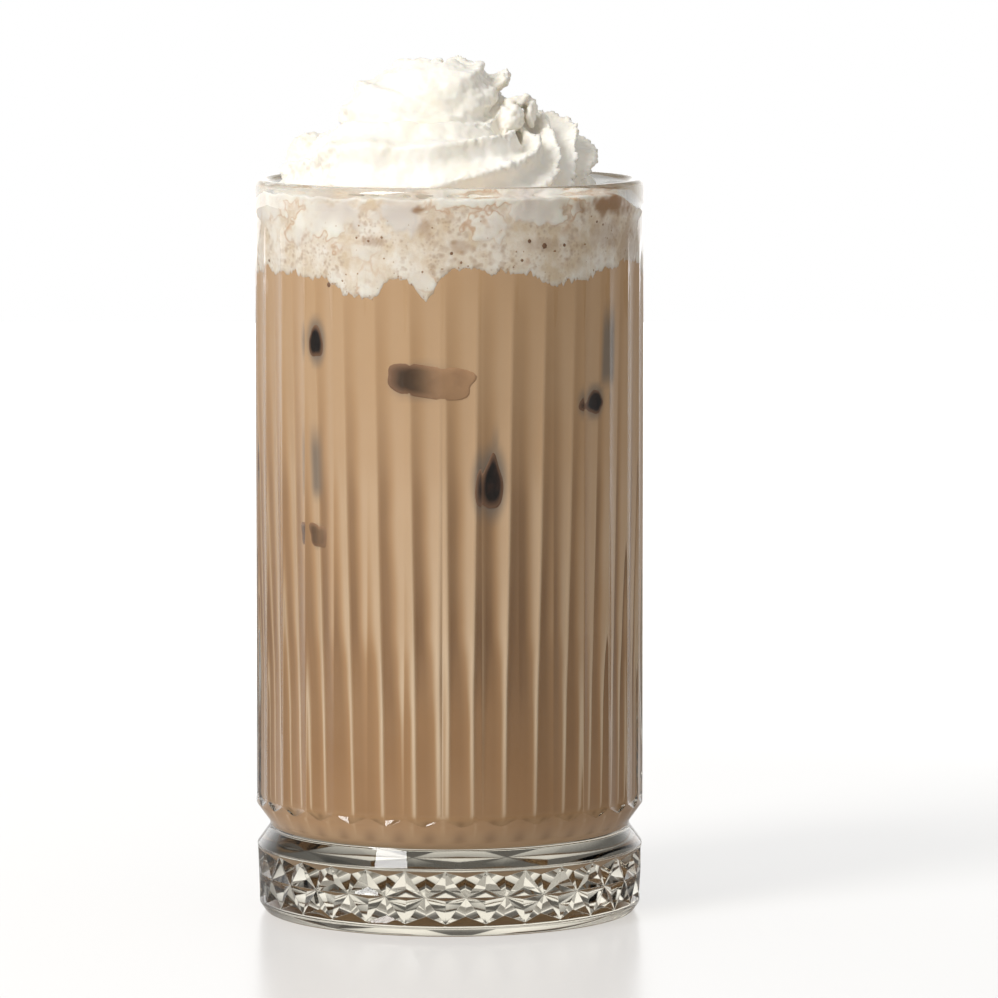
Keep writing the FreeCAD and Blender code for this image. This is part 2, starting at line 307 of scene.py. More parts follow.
def milk_froth():
    """Milk froth, whipped and let settle: matt and pale, full of small bubbles with brown middles, with
    smooth whiter cream against the wall in places."""
    material, tree, output = new_material("milk_froth")
    place = add(tree, "ShaderNodeTexCoord").outputs["Object"]
    clouds = add(tree, "ShaderNodeTexNoise", {"Vector": place, "Scale": scale_for(5.882),
                                              "Detail": 6.0, "Roughness": 0.65})
    patchy = add(tree, "ShaderNodeMapRange", {"Value": clouds.outputs["Fac"], "From Min": 0.38,
                                              "From Max": 0.62})
    layers = [(patchy.outputs[0], linear("#F6EDE2"))]
    # bubbles of 1.4 and 0.7 mm packed together: pale films round browner middles, in places
    for bubble, strength, start in ((1.4286, 0.5, 0.5), (0.7143, 0.4, 0.46)):
        cells = add(tree, "ShaderNodeTexVoronoi", {"Vector": place, "Scale": scale_for(bubble)},
                    feature="SMOOTH_F1")
        middle = add(tree, "ShaderNodeMapRange", {"Value": cells.outputs["Distance"], "From Min": 0.15,
                                                  "From Max": 0.42, "To Min": strength, "To Max": 0.0})
        region = add(tree, "ShaderNodeTexNoise", {"Vector": place, "Scale": scale_for(bubble * 7)})
        here = add(tree, "ShaderNodeMapRange", {"Value": region.outputs["Fac"], "From Min": start,
                                                "From Max": start + 0.12})
        shown = add(tree, "ShaderNodeMath", {0: middle.outputs[0], 1: here.outputs[0]}, operation="MULTIPLY")
        layers.append((shown.outputs[0], linear("#B08C6B")))
    # smooth cream lies against the wall in soft lumps, with drink caught in lines along their edges
    lumps = add(tree, "ShaderNodeTexNoise", {"Vector": place, "Scale": scale_for(10.526), "Detail": 2.0})
    folds = add(tree, "ShaderNodeTexNoise", {"Vector": place, "Scale": scale_for(4.167), "Detail": 1.5})
    wander = add(tree, "ShaderNodeMath", {0: folds.outputs["Fac"], 1: 0.5}, operation="SUBTRACT")
    spread = add(tree, "ShaderNodeAttribute", attribute_name="cream_patch")
    patch = add(tree, "ShaderNodeMath", {0: wander.outputs[0], 1: 1.2, 2: spread.outputs["Fac"]},
                operation="MULTIPLY_ADD")
    off_line = add(tree, "ShaderNodeMath", {0: patch.outputs[0], 1: 0.36}, operation="SUBTRACT")
    off_line = add(tree, "ShaderNodeMath", {0: off_line.outputs[0]}, operation="ABSOLUTE")
    vein = add(tree, "ShaderNodeMapRange", {"Value": off_line.outputs[0], "From Min": 0.0, "From Max": 0.14,
                                            "To Min": 0.6, "To Max": 0.0})
    caught = add(tree, "ShaderNodeMapRange", {"Value": lumps.outputs["Fac"], "From Min": 0.45,
                                              "From Max": 0.62})
    vein = add(tree, "ShaderNodeMath", {0: vein.outputs[0], 1: caught.outputs[0]}, operation="MULTIPLY")
    smooth = add(tree, "ShaderNodeMapRange", {"Value": patch.outputs[0], "From Min": 0.1, "From Max": 0.85})
    tone = add(tree, "ShaderNodeMapRange", {"Value": lumps.outputs["Fac"], "From Min": 0.35, "From Max": 0.6})
    veiled = add(tree, "ShaderNodeMix", {"Factor": tone.outputs[0], 6: linear("#E0D6CE"),
                                         7: linear("#FAF4EA")}, data_type="RGBA")
    stain = add(tree, "ShaderNodeAttribute", attribute_name="drink_stain")
    layers += [(smooth.outputs[0], veiled.outputs[2]), (vein.outputs[0], linear("#C79462")),
               (stain.outputs["Fac"], linear("#A9825F"))]
    colour = linear("#E0CCB2")
    for share, over in layers:
        colour = add(tree, "ShaderNodeMix", {"Factor": share, 6: colour, 7: over},
                     data_type="RGBA").outputs[2]
    bump = add(tree, "ShaderNodeBump", {"Height": patch.outputs[0], "Strength": 0.25, "Distance": 0.8 * MM})
    body = add(tree, "ShaderNodeBsdfPrincipled", {
        "Base Color": colour, "Roughness": 0.55, "Specular IOR Level": 0.3, "Normal": bump.outputs[0],
        "Subsurface Weight": 0.35, "Subsurface Radius": (1.0, 0.8, 0.6), "Subsurface Scale": 3 * MM})
    tree.links.new(body.outputs[0], output.inputs["Surface"])
    return material


def froth_bubble():
    """Bubbles in the froth, that show the drink behind: glossy, and the browner the larger they are."""
    material, tree, output = new_material("bubble_film")
    radius = add(tree, "ShaderNodeAttribute", attribute_name="size")
    large = add(tree, "ShaderNodeMapRange", {"Value": radius.outputs["Fac"], "From Min": 0.3 * MM,
                                             "From Max": 0.8 * MM})
    colour = add(tree, "ShaderNodeMix", {"Factor": large.outputs[0], 6: linear("#BE9C7C"),
                                         7: linear("#7A5840")}, data_type="RGBA")
    body = add(tree, "ShaderNodeBsdfPrincipled", {
        "Base Color": colour.outputs[2], "Roughness": 0.15, "Specular IOR Level": 0.5})
    tree.links.new(body.outputs[0], output.inputs["Surface"])
    return material


def whipped_cream():
    """Whipped cream: white, satin and slightly see-through at thin edges, with fine pores of air and
    faintly yellower where the fat has gathered."""
    material, tree, output = new_material("whipped_cream")
    place = add(tree, "ShaderNodeTexCoord").outputs["Object"]
    fat = add(tree, "ShaderNodeTexNoise", {"Vector": place, "Scale": scale_for(9.091), "Detail": 3.0})
    gathered = add(tree, "ShaderNodeMapRange", {"Value": fat.outputs["Fac"], "From Min": 0.42,
                                                "From Max": 0.7})
    tone = add(tree, "ShaderNodeMix", {"Factor": gathered.outputs[0], 6: linear("#F9F4EA"),
                                       7: linear("#F5EEDF")}, data_type="RGBA")
    # real pores are under 0.1 mm, and are drawn at 0.7 mm so that they show
    pores = add(tree, "ShaderNodeTexNoise", {"Vector": place, "Scale": scale_for(0.6667), "Detail": 2.0})
    satin = add(tree, "ShaderNodeMapRange", {"Value": pores.outputs["Fac"], "To Min": 0.38, "To Max": 0.54})
    bump = add(tree, "ShaderNodeBump", {"Height": pores.outputs["Fac"], "Strength": 0.2,
                                        "Distance": 0.2 * MM})
    body = add(tree, "ShaderNodeBsdfPrincipled", {
        "Base Color": tone.outputs[2], "Roughness": satin.outputs[0], "Specular IOR Level": 0.35,
        "Normal": bump.outputs[0], "Subsurface Weight": 0.2, "Subsurface Radius": (1.0, 0.75, 0.5),
        "Subsurface Scale": 1.5 * MM})
    tree.links.new(body.outputs[0], output.inputs["Surface"])
    return material


# ------------------------------------------------------------------ glass
def rounded_profile(corners, steps=4):
    """Profile rows (radius, height) through corners (radius, height, fillet radius)."""
    rows = []
    for i, (r, z, fillet) in enumerate(corners):
        if fillet == 0 or i in (0, len(corners) - 1):
            rows.append((r, z))
            continue
        here = Vector((r, z))
        to_last = (Vector(corners[i - 1][:2]) - here).normalized()
        to_next = (Vector(corners[i + 1][:2]) - here).normalized()
        half = to_last.angle(to_next) / 2
        reach = fillet / math.tan(half)
        centre = here + (to_last + to_next).normalized() * (fillet / math.sin(half))
        start, end = here + to_last * reach - centre, here + to_next * reach - centre
        for k in range(steps + 1):
            spoke = start.slerp(end, k / steps).normalized() * fillet
            rows.append(tuple(centre + spoke))
    return rows


def ring_radius(z):
    """Radius of the foot ring, which is a little wider at its top."""
    return RING_LOW_R + (RING_TOP_R - RING_LOW_R) * (z - RING_LOW) / (RING_TOP - RING_LOW)


def turned_points(rows):
    """Points of a turned band, a ring for each row (radius, height) of its profile."""
    return [polar(r, degrees, z) for r, z in rows for degrees in COLUMN_ANGLES]


def cavity_radius(z):
    """Inside radius of the drafted wall, above the rounded floor."""
    share = (z - CAVITY_FOOT) / (GLASS_TOP - CAVITY_FOOT)
    return CAVITY_FOOT_R + share * (RIM_R - LIP_WALL - CAVITY_FOOT_R)


def cavity_rows(top_z, grow=0.0):
    """Profile of the inside from the middle of the floor up the wall to a height."""
    centre_r = CAVITY_FOOT_R - CAVITY_CORNER
    reach = CAVITY_CORNER + grow
    rows = [(r, CAVITY_FLOOR - grow) for r in (0.0, centre_r * 0.5, centre_r * 0.85)]
    for k in range(9):
        a = math.radians(90.0 * k / 8)
        rows.append((centre_r + reach * math.sin(a), CAVITY_FOOT - reach * math.cos(a)))
    steps = 24
    for k in range(1, steps + 1):
        z = CAVITY_FOOT + (top_z - CAVITY_FOOT) * k / steps
        rows.append((cavity_radius(z) + grow, z))
    return rows


def repeat_tree(material):
    """Geometry nodes that repeat a sector about the axis and weld the seams."""
    tree = bpy.data.node_groups.new("repeat_about_axis", "GeometryNodeTree")
    tree.interface.new_socket("Sector", in_out="INPUT", socket_type="NodeSocketGeometry")
    tree.interface.new_socket("Count", in_out="INPUT", socket_type="NodeSocketInt")
    tree.interface.new_socket("Ring", in_out="OUTPUT", socket_type="NodeSocketGeometry")
    inside = add(tree, "NodeGroupInput")
    turn = add(tree, "ShaderNodeMath", {0: 2 * math.pi, 1: inside.outputs["Count"]}, operation="DIVIDE")
    index = add(tree, "GeometryNodeInputIndex")
    angle = add(tree, "ShaderNodeMath", {0: index.outputs[0], 1: turn.outputs[0]}, operation="MULTIPLY")
    about_z = add(tree, "ShaderNodeCombineXYZ", {"Z": angle.outputs[0]})
    rotation = add(tree, "FunctionNodeEulerToRotation", {0: about_z.outputs[0]})
    points = add(tree, "GeometryNodeMeshLine", {"Count": inside.outputs["Count"], "Offset": (0, 0, 0)})
    copies = add(tree, "GeometryNodeInstanceOnPoints", {
        "Points": points.outputs[0], "Instance": inside.outputs["Sector"], "Rotation": rotation.outputs[0]})
    real = add(tree, "GeometryNodeRealizeInstances", {0: copies.outputs[0]})
    welded = add(tree, "GeometryNodeMergeByDistance", {"Geometry": real.outputs[0], "Distance": WELD * MM})
    finish = add(tree, "GeometryNodeSetMaterial", {"Geometry": welded.outputs[0], "Material": material})
    add(tree, "NodeGroupOutput", {0: finish.outputs[0]})
    return tree


def mark_edges(mesh, pairs):
    """Give the edges between these pairs of points the weight that the bevel rounds."""
    wanted = {tuple(sorted(pair)) for pair in pairs}
    weight = mesh.attributes.new("bevel_weight_edge", "FLOAT", "EDGE")
    weight.data.foreach_set("value", [float(tuple(sorted(e.vertices)) in wanted) for e in mesh.edges])


def repeated(name, sector, count, tree):
    """Ring of a sector: its points, its faces, and pairs of points whose edge gets rounded."""
    points, faces, lines = sector
    piece = mesh_object(name, points, faces)
    mark_edges(piece.data, lines)
    return made_by_nodes(piece, tree, {"Count": count})


def flute_point(p, depth, softness):
    """Place across and out at p from -1 to 1 over a flute of a given depth, with its ridges rounded."""
    half = math.pi / FLUTES
    chord, rise = RIDGE_R * math.sin(half), RIDGE_R * math.cos(half)
    sag = rise - (RIDGE_R - depth)
    # the columns of faces crowd towards the ridges, where the wall bends most
    crowd = 1 + 0.6 * ease(depth, 0.0, 0.5)
    inward = (1 - abs(p)) ** crowd
    x = math.copysign(1 - inward, p)
    eased = (math.sqrt(inward ** 2 + softness ** 2) - softness) / (math.sqrt(1 + softness ** 2) - softness)
    y = rise - sag * eased * (2 - eased)
    return x * chord, y


def flute_sector():
    """One flute, from the gables at its foot to where it dies out below the lip."""
    columns = COLUMNS // FLUTES
    turn = Matrix.Rotation(math.radians(FLUTE_TURN), 3, "Z")
    # the plain wall between two gables, the end of the flute, its length, and where it fades: each
    # number is a share of its stretch, but for an end it is the height above the gable
    rows = [("wall", share) for share in (0.0, 0.5, 1.0)]
    gable_row = len(rows) - 1
    rows += [("end", above) for above in (0.12, 0.3, 0.55, 0.85, 1.2, 1.7, FLUTE_END)]
    rows += [("length", k / 12) for k in range(1, 13)]
    rows += [("top", k / 8) for k in range(1, 9)]
    start_z = FLUTE_FOOT + FLUTE_RUN + FLUTE_END
    fade_z = FLUTE_TOP - FLUTE_TOP_RUN
    points, faces = [], []
    for kind, at in rows:
        for i in range(columns + 1):
            p = 2.0 * i / columns - 1
            gable = FLUTE_RUN * abs(p)
            round_angle = p * math.pi / FLUTES
            round_x, round_y = RIDGE_R * math.sin(round_angle), RIDGE_R * math.cos(round_angle)
            if kind == "wall":
                x, y, z = round_x, round_y, FLUTE_FOOT + gable * at
            elif kind == "end":
                z = FLUTE_FOOT + gable + at + (FLUTE_RUN - gable) * at / FLUTE_END
                middle_depth = FLUTE_DEPTH_FOOT * min(1.0, (z - FLUTE_FOOT) / FLUTE_RUN)
                x, y = flute_point(p, FLUTE_DEPTH_FOOT, RIDGE_SOFTNESS)
                x = round_x + (x - round_x) * ease(at, 0.0, 1.2)
                y = min(y + FLUTE_DEPTH_FOOT - middle_depth, math.sqrt(RIDGE_R ** 2 - x * x))
            elif kind == "length":
                z = start_z + (fade_z - start_z) * at
                depth = FLUTE_DEPTH + (FLUTE_DEPTH_TOP - FLUTE_DEPTH) * at
                depth += (FLUTE_DEPTH_FOOT - FLUTE_DEPTH) * (1 - ease(at, 0.0, 0.25))
                x, y = flute_point(p, depth, RIDGE_SOFTNESS + (RIDGE_SOFTNESS_TOP - RIDGE_SOFTNESS) * at)
            else:
                z = fade_z + FLUTE_TOP_RUN * at
                depth = FLUTE_DEPTH_TOP * (1 - ease(at, 0.0, 1.0))
                x, y = flute_point(p, depth, RIDGE_SOFTNESS_TOP + 0.5 * at)
                x += (round_x - x) * ease(at, 0.7, 1.0)
                y += (round_y - y) * ease(at, 0.85, 1.0)
            points.append(turn @ Vector((x, -y, z)) * MM)
    width = columns + 1
    for j in range(len(rows) - 1):
        for i in range(columns):
            a, b = j * width + i, (j + 1) * width + i
            faces.append((a, a + 1, b + 1, b))
    lines = [(gable_row * width + i, gable_row * width + i + 1) for i in range(columns)]
    return points, faces, lines


def star_sector():
    """One star: eight points in a net of lines, with a pit sunk in each space between them."""
    columns = COLUMNS // STARS
    half = 180.0 / STARS
    points = []

    def put(degrees, z, sunk=0.0):
        points.append(polar(ring_radius(z) - sunk, STAR_TURN + degrees, z))
        return len(points) - 1

    chord_drop = ring_radius(STAR_MIDDLE) * (1 - math.cos(math.radians(half)))
    top = [put(half * (2 * i / columns - 1), STAR_HIGH) for i in range(columns + 1)]
    bottom = [put(half * (2 * i / columns - 1), STAR_LOW) for i in range(columns + 1)]
    centre = put(0, STAR_MIDDLE)
    high, low = put(0, PIT_HIGH, PIT_DEPTH), put(0, PIT_LOW, PIT_DEPTH)
    sides = []
    for side in (-half, half):
        sides.append([put(side, PIT_UPPER, PIT_DEPTH), put(side, STAR_MIDDLE, chord_drop),
                      put(side, PIT_LOWER, PIT_DEPTH)])
    (left_up, left, left_down), (right_up, right, right_down) = sides
    tl, tr, bl, br = top[0], top[-1], bottom[0], bottom[-1]
    faces = [(top[i + 1], top[i], high) for i in range(columns)]
    faces += [(bottom[i], bottom[i + 1], low) for i in range(columns)]
    faces += [(tl, centre, high), (high, centre, tr), (tl, left_up, centre), (centre, right_up, tr),
              (left_up, left, centre), (centre, right, right_up), (left, left_down, centre),
              (centre, right_down, right), (left_down, bl, centre), (centre, br, right_down),
              (bl, low, centre), (centre, low, br)]
    lines = [(centre, p) for p in (tl, tr, bl, br, high, low, left, right,
                                   left_up, right_up, left_down, right_down)]
    lines += [(high, tl), (high, tr), (low, bl), (low, br)]
    lines += [(tl, left_up), (bl, left_down), (tr, right_up), (br, right_down)]
    return points, faces, lines


def fluted_inside(point):
    """A point of the inner wall, moved out to the ridges that the wall has on its inside too."""
    degrees = math.degrees(math.atan2(point.x, -point.y))
    out = inner_ridge(degrees, point.z / MM) * MM
    radius = math.hypot(point.x, point.y)
    share = 1 + out / radius if radius > CAVITY_FOOT_R * 0.5 * MM else 1
    return Vector((point.x * share, point.y * share, point.z))


def make_glass(material):
    """The whole glass as one closed mesh: turned bands, the flutes and the stars, welded."""
    foot = rounded_profile([(0.0, PUNT, 0), (FOOT_INNER_R * 0.5, PUNT * 0.8, 0), (FOOT_INNER_R, 0.0, 0.6),
                            (FOOT_R, 0.0, 0.9), (RING_LOW_R, RING_LOW - 0.6, 0.8),
                            (RING_LOW_R, STAR_LOW, 0)])
    foot[-1] = (ring_radius(STAR_LOW), STAR_LOW)
    waist = rounded_profile([(ring_radius(STAR_HIGH), STAR_HIGH, 0), (RING_TOP_R, RING_TOP, 0.45),
                             (NECK_R, NECK_Z, 1.6), (RIDGE_R, FLUTE_FOOT, 0)])
    half_wall = LIP_WALL / 2
    crown = GLASS_TOP - half_wall
    middle = RIM_R - half_wall
    lip = [(RIDGE_R, FLUTE_TOP)]
    for k in range(1, 5):
        lip.append((RIDGE_R + (RIM_R - RIDGE_R) * ease(k, 0, 4), FLUTE_TOP + LIP_FLARE * k / 4))
    for k in range(0, 13):
        a = math.radians(180.0 * k / 12)
        lip.append((middle + half_wall * math.cos(a), crown + half_wall * math.sin(a)))
    inside = [lip[-1]] + cavity_rows(crown)[::-1][1:]

    ring = repeat_tree(material)
    parts = [repeated("flutes", flute_sector(), FLUTES, ring), repeated("stars", star_sector(), STARS, ring)]
    for profile in (foot, waist, lip, inside):
        points = turned_points(profile)
        if profile is inside:
            points = [fluted_inside(point) for point in points]
        parts.append(mesh_object("band", points, belt_faces(len(profile), COLUMNS)))
    whole = bmesh.new()
    for part in parts:
        whole.from_mesh(part.data)
        bpy.data.objects.remove(part)
    bmesh.ops.remove_doubles(whole, verts=whole.verts, dist=2 * WELD * MM)
    bmesh.ops.dissolve_degenerate(whole, edges=whole.edges, dist=0.05 * WELD * MM)
    bmesh.ops.recalc_face_normals(whole, faces=whole.faces)
    glass = mesh_object("pressed_glass", [], [], [material])
    whole.to_mesh(glass.data)
    whole.free()
    set_smooth(glass.data)
    bevel = glass.modifiers.new("rounded_lines", "BEVEL")
    bevel.limit_method = "WEIGHT"
    bevel.width = LINE_ROUNDING * MM
    bevel.segments = 3
    return baked(glass)


# ------------------------------------------------------------------ drink and froth
# Lobes of the froth's lower edge: middle, rise and half width in degrees
FROTH_LOBES = ((-62, -0.6, 9), (-48, -1.4, 6), (-31, -4.2, 9), (-23, -1.6, 4), (-7.5, -4.6, 4.4),
               (4, 1.5, 7), (20, 0.6, 8), (38, -1.9, 11), (70, 1.2, 12), (-95, -1.5, 16),
               (105, -2.6, 14), (128, -4.0, 5), (150, 1.5, 20), (-150, 1.0, 22), (-175, -3.2, 9))
FROTH_EDGE = GLASS_TOP - 17.6


def froth_edge(degrees):
    """Height of the froth's wandering lower edge."""
    z = FROTH_EDGE
    for centre, rise, width in FROTH_LOBES:
        z += rise * math.exp(-abs(turn_from(centre, degrees) / width) ** 3)
    angle = math.radians(degrees)
    ragged = 0.0
    for scale, share in ((10.5, 0.7), (27, 0.8), (70, 0.6)):
        ragged += share * noise.noise((scale * math.sin(angle), scale * math.cos(angle), scale))
    return z + 1.3 * ragged


def froth_top(degrees):
    """Height of the froth at the wall: wet cream is pushed up against it all round the front."""
    front = 1 - ease(abs(turn_from(-7, degrees)), 65.0, 91.0)
    angle = math.radians(degrees)
    ragged = noise.noise((9 * math.sin(angle), 9 * math.cos(angle), 2.2))
    ragged += 0.5 * noise.noise((24 * math.sin(angle), 24 * math.cos(angle), 8.1))
    return FOAM_TOP + front * (3.7 + 0.5 * ragged) + 0.4 * ragged * (1 - front)


# Height, depth of the flutes inside the wall, and how sharply they rise to the ridges
INNER_FLUTES = ((14.0, 0.0, 7.0), (22.5, 0.0, 7.0), (26.0, 0.2, 7.0), (42.0, 0.4, 7.0), (60.0, 0.9, 2.6),
                (78.0, 1.0, 2.0), (94.0, 0.8, 2.0), (108.0, 0.5, 2.0), (122.0, 0.3, 2.0),
                (134.0, 0.0, 2.0))
# Painted light and shade beside the flutes: height, where the painted pale band beside a ridge begins across
# the flute, its strength, the painted shade's strength
PAINTED_FLUTE_BANDS = ((21.0, 0.88, 0.0, 0.0), (24.0, 0.84, 0.7, 0.2), (40.0, 0.82, 0.9, 0.3),
               (52.0, 0.7, 0.75, 0.42), (62.0, 0.52, 0.54, 0.52), (84.0, 0.44, 0.38, 0.4),
               (98.0, 0.34, 0.2, 0.18), (112.0, 0.3, 0.14, 0.09), (134.0, 0.3, 0.06, 0.03))
UNDER_FLUTE_Z = 20.6          # painted shade: a soft dark spot under each flute's lower end


def flute_at(degrees):
    """Number of the flute at an angle, and how far across it the angle is, from 0 to 1."""
    turned = degrees - FLUTE_TURN + FLUTE_PITCH / 2
    return math.floor(turned / FLUTE_PITCH) % FLUTES, turned % FLUTE_PITCH / FLUTE_PITCH


def inner_ridge(degrees, z):
    """How far the drink bulges into the ridges of the wall, which is fluted inside as well."""
    height, power = between(INNER_FLUTES, z)
    return height * abs(flute_at(degrees)[1] * 2 - 1) ** power


def painted_flute_bands(degrees, z):
    """Strength of the painted pale band and of the painted shade at a place on the drink's side."""
    start, pale, dark = between(PAINTED_FLUTE_BANDS, z)
    number, across = flute_at(degrees)
    start += 0.08 * noise.noise((number * 3.1, z * 0.06, 0.5))
    uneven = 1 + 0.35 * noise.noise((number * 1.7, z * 0.05, 3.3))
    # painted light: the pale band beside each ridge; painted shade: the darker stretch across the flute
    light = max(ease(across, start, min(start + 0.34, 0.97)), 1 - ease(across, 0.0, 0.09)) * pale * uneven
    shade = (1 - ease(across, start * 0.55, start + 0.12)) * ease(across, 0.0, 0.12) * dark * uneven
    # painted shade: a soft dark spot under the lower end of each flute
    below = math.exp(-((z - UNDER_FLUTE_Z) / 1.2) ** 2 - ((across - 0.5) / 0.22) ** 2)
    # painted light: the drink is painted paler at its bottom and up through the neck, below the flutes
    painted_neck_light = 0.5 - 0.28 * ease(z, 15.5, 17.5) - 0.22 * ease(z, 20.5, 23.5)
    return max(light, painted_neck_light), max(shade, 0.4 * below)


# Ice that touches the wall: angle, height, half width in degrees, half height in mm, squareness,
# how clear it is at its left and at its right, grey halo beyond it in degrees and mm
ICE = ((-46.6, 117.8, 3.6, 3.1, 2.0, 0.0, 0.0, 2.6, 3.2),
       (-6.0, 110.6, 14.2, 3.3, 3.6, 0.12, 0.88, 2.0, 1.6),
       (52.6, 105.6, 5.4, 2.4, 2.2, 0.0, 0.0, 3.0, 2.2),
       (13.6, 90.4, 4.3, 5.4, 1.9, 0.0, 0.0, 3.2, 4.5),
       (-48.4, 78.8, 5.2, 2.2, 4.5, 0.3, 0.5, 0.8, 0.8),
       (-152.0, 101.0, 8.0, 3.4, 3.5, 0.2, 0.4, 2.0, 2.0),
       (124.0, 112.0, 2.6, 4.0, 2.0, 0.0, 0.0, 2.8, 3.5),
       (171.0, 84.0, 3.4, 2.4, 3.0, 0.3, 0.3, 1.5, 1.5),
       (-98.0, 93.0, 2.2, 3.6, 2.0, 0.0, 0.0, 2.8, 4.0))
# Grey streaks that rise from ice behind a thin film of drink: angle, lowest and highest height, half
# width in degrees, strength
STREAKS = ((-48.4, 85.0, 103.0, 5.2, 0.8), (59.5, 107.0, 127.0, 4.2, 0.85),
           (-47.0, 117.0, 124.0, 2.6, 0.4), (14.5, 92.0, 104.0, 2.4, 0.6),
           (122.0, 98.0, 110.0, 2.4, 0.5), (-96.0, 76.0, 92.0, 2.4, 0.5))


def clearness(left, right, u):
    """How clear a piece of ice is at u from -1 to 1 across it."""
    return left + (right - left) * ease(u, -0.6, 0.5)


def ice_halo(degrees, z):
    """How grey the drink is where ice lies close behind its surface."""
    grey = 0.0
    for centre, middle, wide, high, _, left, right, spread, reach in ICE:
        beside = turn_from(centre, degrees)
        away = math.hypot(beside / (wide + spread), (z - middle) / (high + reach))
        grey = max(grey, 0.85 * (1 - ease(away, 0.45, 1.0)) * (1 - clearness(left, right, beside / wide)))
    for centre, low, high, wide, strength in STREAKS:
        u = abs(turn_from(centre, degrees)) / wide
        along_it = ease(z, low, low + 4) * (1 - ease(z, high - 8, high))
        grey = max(grey, strength * along_it * (1 - ease(u, 0.2, 1.0)))
    return grey


def side_radius(degrees, z):
    """Radius of the drink's side, which follows the wall's inside."""
    return cavity_radius(z) + SEAT + inner_ridge(degrees, z)


def make_drink(material):
    """The drink from the cavity's floor up into the froth, with values for what its material shows:
    painted light and shade across the flutes and by height, and where ice lies close.
    """
    top = FOAM_LOW - 1.0
    steps = 88
    # the rounded floor, then the side, whose last belts follow the froth's lower edge
    floor = [row for row in cavity_rows(top, SEAT)[1:] if row[1] < CAVITY_FOOT]
    heights = [[CAVITY_FOOT + (top - CAVITY_FOOT) * j / steps] * COLUMNS for j in range(steps + 1)]
    for share in (0.25, 0.5, 0.75, 1.0):
        heights.append([top + (froth_edge(degrees) + FROTH_OVER_DRINK - top) * share
                        for degrees in COLUMN_ANGLES])
    belts = [[row] * COLUMNS for row in floor]
    belts += [[(cavity_radius(z) + SEAT, z) for z in belt] for belt in heights]
    points = []
    values = {"painted_height_light": [], "painted_flute_light": [], "painted_flute_shade": [], "ice_halo": []}
    for belt in belts:
        for (r, z), degrees in zip(belt, COLUMN_ANGLES):
            points.append(polar(r + inner_ridge(degrees, z), degrees, z))
            # painted light and shade: the pale band and the shade across each flute
            light, shade = painted_flute_bands(degrees, z)
            # painted light: paler higher up, darker towards the bottom
            values["painted_height_light"].append(0.15 + 0.5 * ease(z, 25, 75) + 0.35 * ease(z, 80, 130))
            values["painted_flute_light"].append(light)
            values["painted_flute_shade"].append(shade)
            values["ice_halo"].append(ice_halo(degrees, z))
    points.append(polar(0, 0, CAVITY_FLOOR - SEAT))
    points.append(polar(0, 0, FOAM_LOW + 3))
    drink = mesh_object("chocolate_drink", points, filling_faces(len(belts), COLUMNS), [material])
    for name, strengths in values.items():
        add_values(drink.data, name, strengths + [0.0, 0.0])
    set_smooth(drink.data)
    return drink


def make_ice(material):
    """Each piece of ice has a face that follows the wall, and rounds back into the drink behind it."""
    points, painted_depth_shades, clears, faces = [], [], [], []
    around = 36
    # share of the full outline, and how far out of the drink's side: the face, then the rounding back
    rows = [(share, 0.34 - 0.3 * share ** 4) for share in (0.22, 0.45, 0.65, 0.82, 0.94, 1.0)]
    rows += [(1.08, -1.0), (1.1, -4.0), (0.9, -7.0), (0.5, -8.5)]
    for number, (centre, middle, wide, high, power, left, right, _, _) in enumerate(ICE):
        faces += tube_faces(len(rows), around, len(points))
        for share, out in rows:
            for k in range(around):
                a = 2 * math.pi * k / around
                c, s = math.cos(a), math.sin(a)
                size = (abs(c) ** power + abs(s) ** power) ** (-1 / power)
                size *= 1 + 0.16 * noise.noise((number * 5.3 + 1.4 * c, 1.4 * s, 0.3))
                u, v = size * share * c, size * share * s
                u *= 1 - (0.3 * v if power < 3 else -0.1 * v)
                degrees, z = centre + wide * u, middle + high * (v - 0.25 * right * u)
                points.append(polar(side_radius(degrees, z) + out, degrees, z))
                # painted shade: darkest in the middle of each piece's face
                painted_depth_shades.append(1 - ease(share, 0.62, 1.0))
                clears.append(clearness(left, right, u))
    ice = mesh_object("ice_pieces", points, faces, [material])
    add_values(ice.data, "painted_depth_shade", painted_depth_shades)
    add_values(ice.data, "clear_tone", clears)
    set_smooth(ice.data)
    return ice


# Smooth cream against the wall: angle, height, half width in degrees, half height in mm, strength
CREAM_PATCHES = ((-42, 142.5, 17, 4.2, 0.9), (-30, 137.0, 9, 2.4, 0.6), (-55, 139, 7, 3.0, 0.5),
                 (-14, 143.5, 9, 4.0, 1.0), (12, 141.5, 7, 3.2, 0.75), (30, 144.5, 12, 3.6, 1.0),
                 (-72, 144, 14, 3.0, 0.8), (-100, 141, 12, 3.2, 0.7), (150, 137, 10, 3.0, 0.6),
                 (-24.5, 130.5, 6, 3.4, 0.55), (-7, 130.5, 4, 3.0, 0.6), (-140, 139, 10, 3.4, 0.8))
# Where brown drink shows through: the same values
STAINS = ((-9, 144.6, 2.6, 1.0, 0.9), (-7.5, 141.5, 2.6, 2.6, 0.55), (60, 145.0, 15, 2.8, 0.9),
          (58, 139, 10, 4, 0.35), (3, 137.6, 3.5, 1.4, 0.45), (-26, 138.3, 6, 0.9, 0.5),
          (30, 137.5, 6, 1.6, 0.35), (70, 136, 9, 5, 0.4))


def patch_value(patches, degrees, z, ragged):
    """Strength of the strongest of some ragged oval patches at a place on the froth's side."""
    value = 0.0
    for centre, middle, wide, high, strength in patches:
        u, v = turn_from(centre, degrees) / wide, (z - middle) / high
        away = math.sqrt(u * u + v * v) + ragged
        value = max(value, strength * (1 - ease(away, 0.5, 1.15)))
    return value


